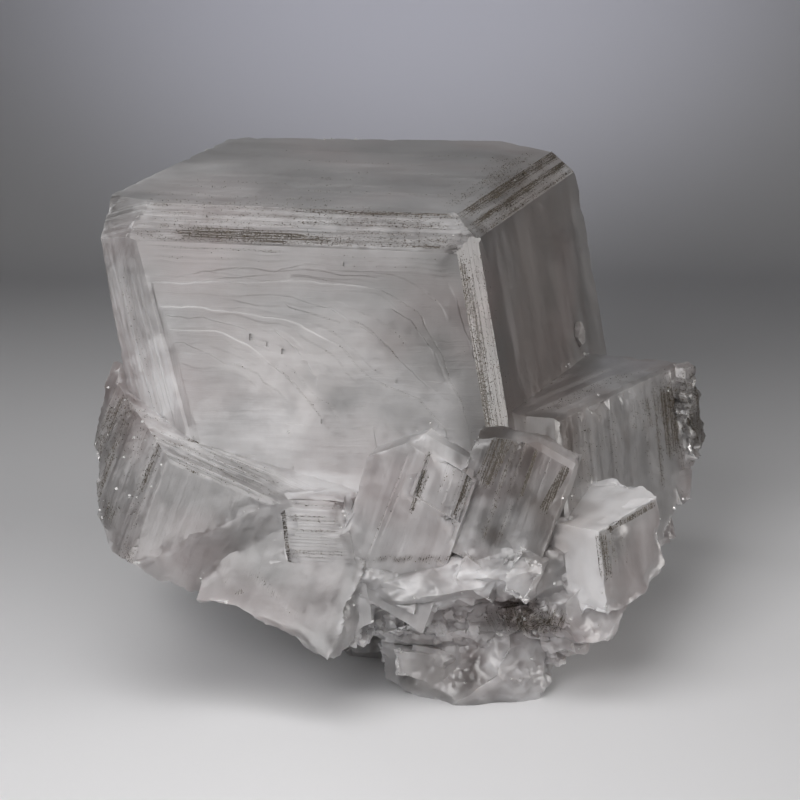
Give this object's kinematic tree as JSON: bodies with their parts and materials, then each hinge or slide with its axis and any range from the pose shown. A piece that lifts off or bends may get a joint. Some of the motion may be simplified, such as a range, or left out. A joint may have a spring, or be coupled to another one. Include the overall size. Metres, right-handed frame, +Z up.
{
  "type": "calcite crystal specimen",
  "caption": "Hand specimen of calcite: a large bevelled rhomb grown on a cluster of smaller rhombs over a broken foot, its growth bands dusted with fine pyrite grains.",
  "frame": {"origin": "centre of the specimen's box in plan, on the flat break that it rests on", "axes": "+Z up, +X to the right and -Y towards the viewer, as in the picture"},
  "size_m": [0.1155, 0.1215, 0.0866],
  "materials": {
    "calcite": "see-through smoky grey crystal with a glassy shine, milky where it is broken",
    "pyrite": "fine dark brown metallic grains"
  },
  "bodies": {
    "root": {"calcite_cluster": "calcite"}
  },
  "joints": []
}
